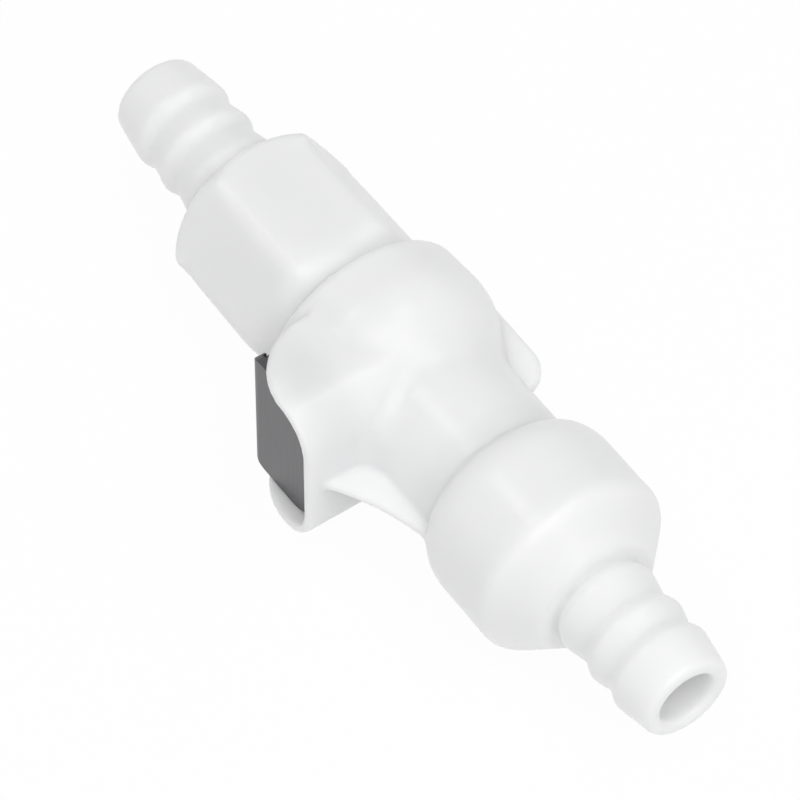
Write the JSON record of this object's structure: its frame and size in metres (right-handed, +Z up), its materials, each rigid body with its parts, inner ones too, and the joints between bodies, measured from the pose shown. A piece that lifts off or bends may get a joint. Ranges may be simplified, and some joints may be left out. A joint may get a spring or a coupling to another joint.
{
  "type": "plastic quick disconnect coupling",
  "caption": "Thumb-latch quick disconnect coupling for hose, its two valved halves joined, with a barb at each end and a hexagonal insert body.",
  "frame": {"origin": "on the flow axis where the coupler half's straight bore begins, just behind the rounded mouth of its hose end", "axes": "+X out of the coupler half's hose end along the flow axis; the thumb latch faces -Y; +Z up with the coupling lying on its side"},
  "size_m": [0.0948, 0.029, 0.0244],
  "materials": {
    "white_plastic": "natural white moulded plastic, satin and slightly translucent",
    "latch_steel": "grey stainless sheet, stamped and bent",
    "spring_steel": "plain stainless spring wire",
    "seal_rubber": "black elastomer"
  },
  "bodies": {
    "coupler": {"coupler_body": "white_plastic", "coupler_barb_end": "white_plastic", "coupler_valve_spring": "spring_steel", "latch_spring": "spring_steel"},
    "latch": {"thumb_latch": "latch_steel"},
    "coupler_poppet": {"coupler_valve": "white_plastic", "coupler_valve_seal": "seal_rubber"},
    "insert": {"insert_hex_barb": "white_plastic", "insert_nose": "white_plastic", "insert_nose_seal": "seal_rubber", "insert_valve_spring": "spring_steel"},
    "insert_poppet": {"insert_valve": "white_plastic", "insert_valve_seal": "seal_rubber"}
  },
  "joints": [
    {"name": "latch_press", "type": "slide", "parent": "coupler", "child": "latch", "axis": [0, 1, 0], "range_m": [0, 0.0013], "stiffness_N_per_m": 1200, "springref_m": -0.002, "deforming": ["latch_spring"]},
    {"name": "insert_swivel", "type": "hinge", "parent": "coupler", "child": "insert", "pos_m": [-0.05, 0, 0], "axis": [1, 0, 0], "continuous": true},
    {"name": "coupler_valve_slide", "type": "slide", "parent": "coupler", "child": "coupler_poppet", "axis": [1, 0, 0], "range_m": [-0.0004, 0.0004], "stiffness_N_per_m": 400, "springref_m": -0.0004, "deforming": ["coupler_valve_spring"]},
    {"name": "insert_valve_slide", "type": "slide", "parent": "insert", "child": "insert_poppet", "axis": [1, 0, 0], "range_m": [-0.0004, 0.0004], "stiffness_N_per_m": 400, "springref_m": 0.0004, "deforming": ["insert_valve_spring"]}
  ],
  "couplings": [
    {"joint": "insert_valve_slide", "follows": "coupler_valve_slide", "ratio": 1}
  ]
}
